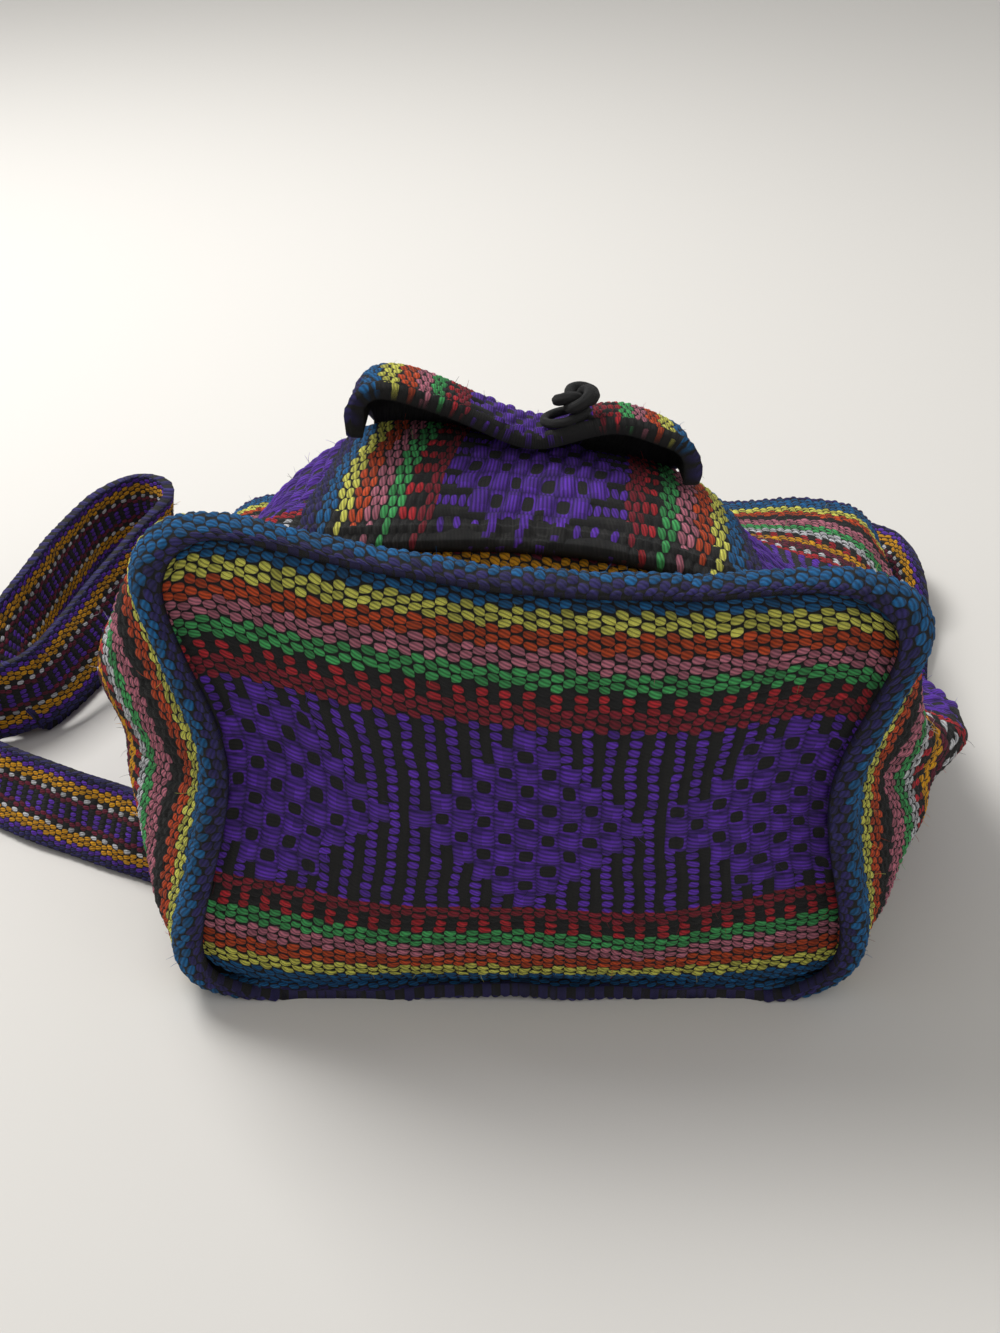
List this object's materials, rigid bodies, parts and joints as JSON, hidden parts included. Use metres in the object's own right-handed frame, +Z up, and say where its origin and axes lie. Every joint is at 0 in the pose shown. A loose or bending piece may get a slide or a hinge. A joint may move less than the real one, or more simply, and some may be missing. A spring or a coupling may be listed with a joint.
{
  "type": "backpack",
  "caption": "Small woven striped backpack lying empty on its back, with a bottom panel turned to the viewer, a front pocket with a toggle flap, a top flap and two loose shoulder straps",
  "frame": {"origin": "on the floor plane under the middle of the bag's back, half way between its bottom seam and its mouth", "axes": "+Z up as the empty bag lies on its back, +X across the bag to its wearer's right side in the picture, +Y from the bottom panel towards the mouth"},
  "size_m": [0.3076, 0.2475, 0.1271],
  "materials": {
    "striped_cloth": "coarse hand-woven wool and cotton in many coloured stripes, dull and fuzzy",
    "strap_band": "narrow thick patterned woven band, dull",
    "black_cord": "twisted black yarn cord",
    "black_knot": "tight knot of black yarn cord"
  },
  "bodies": {
    "root": {"body_wrap": "striped_cloth", "bottom_panel": "striped_cloth", "front_pocket": "striped_cloth", "pocket_flap": "striped_cloth", "main_flap": "striped_cloth", "shoulder_strap_left": "strap_band", "shoulder_strap_right": "strap_band", "pocket_loop": "black_cord", "main_loop": "black_cord", "pocket_toggle": "black_knot", "main_toggle": "black_knot"}
  },
  "joints": []
}
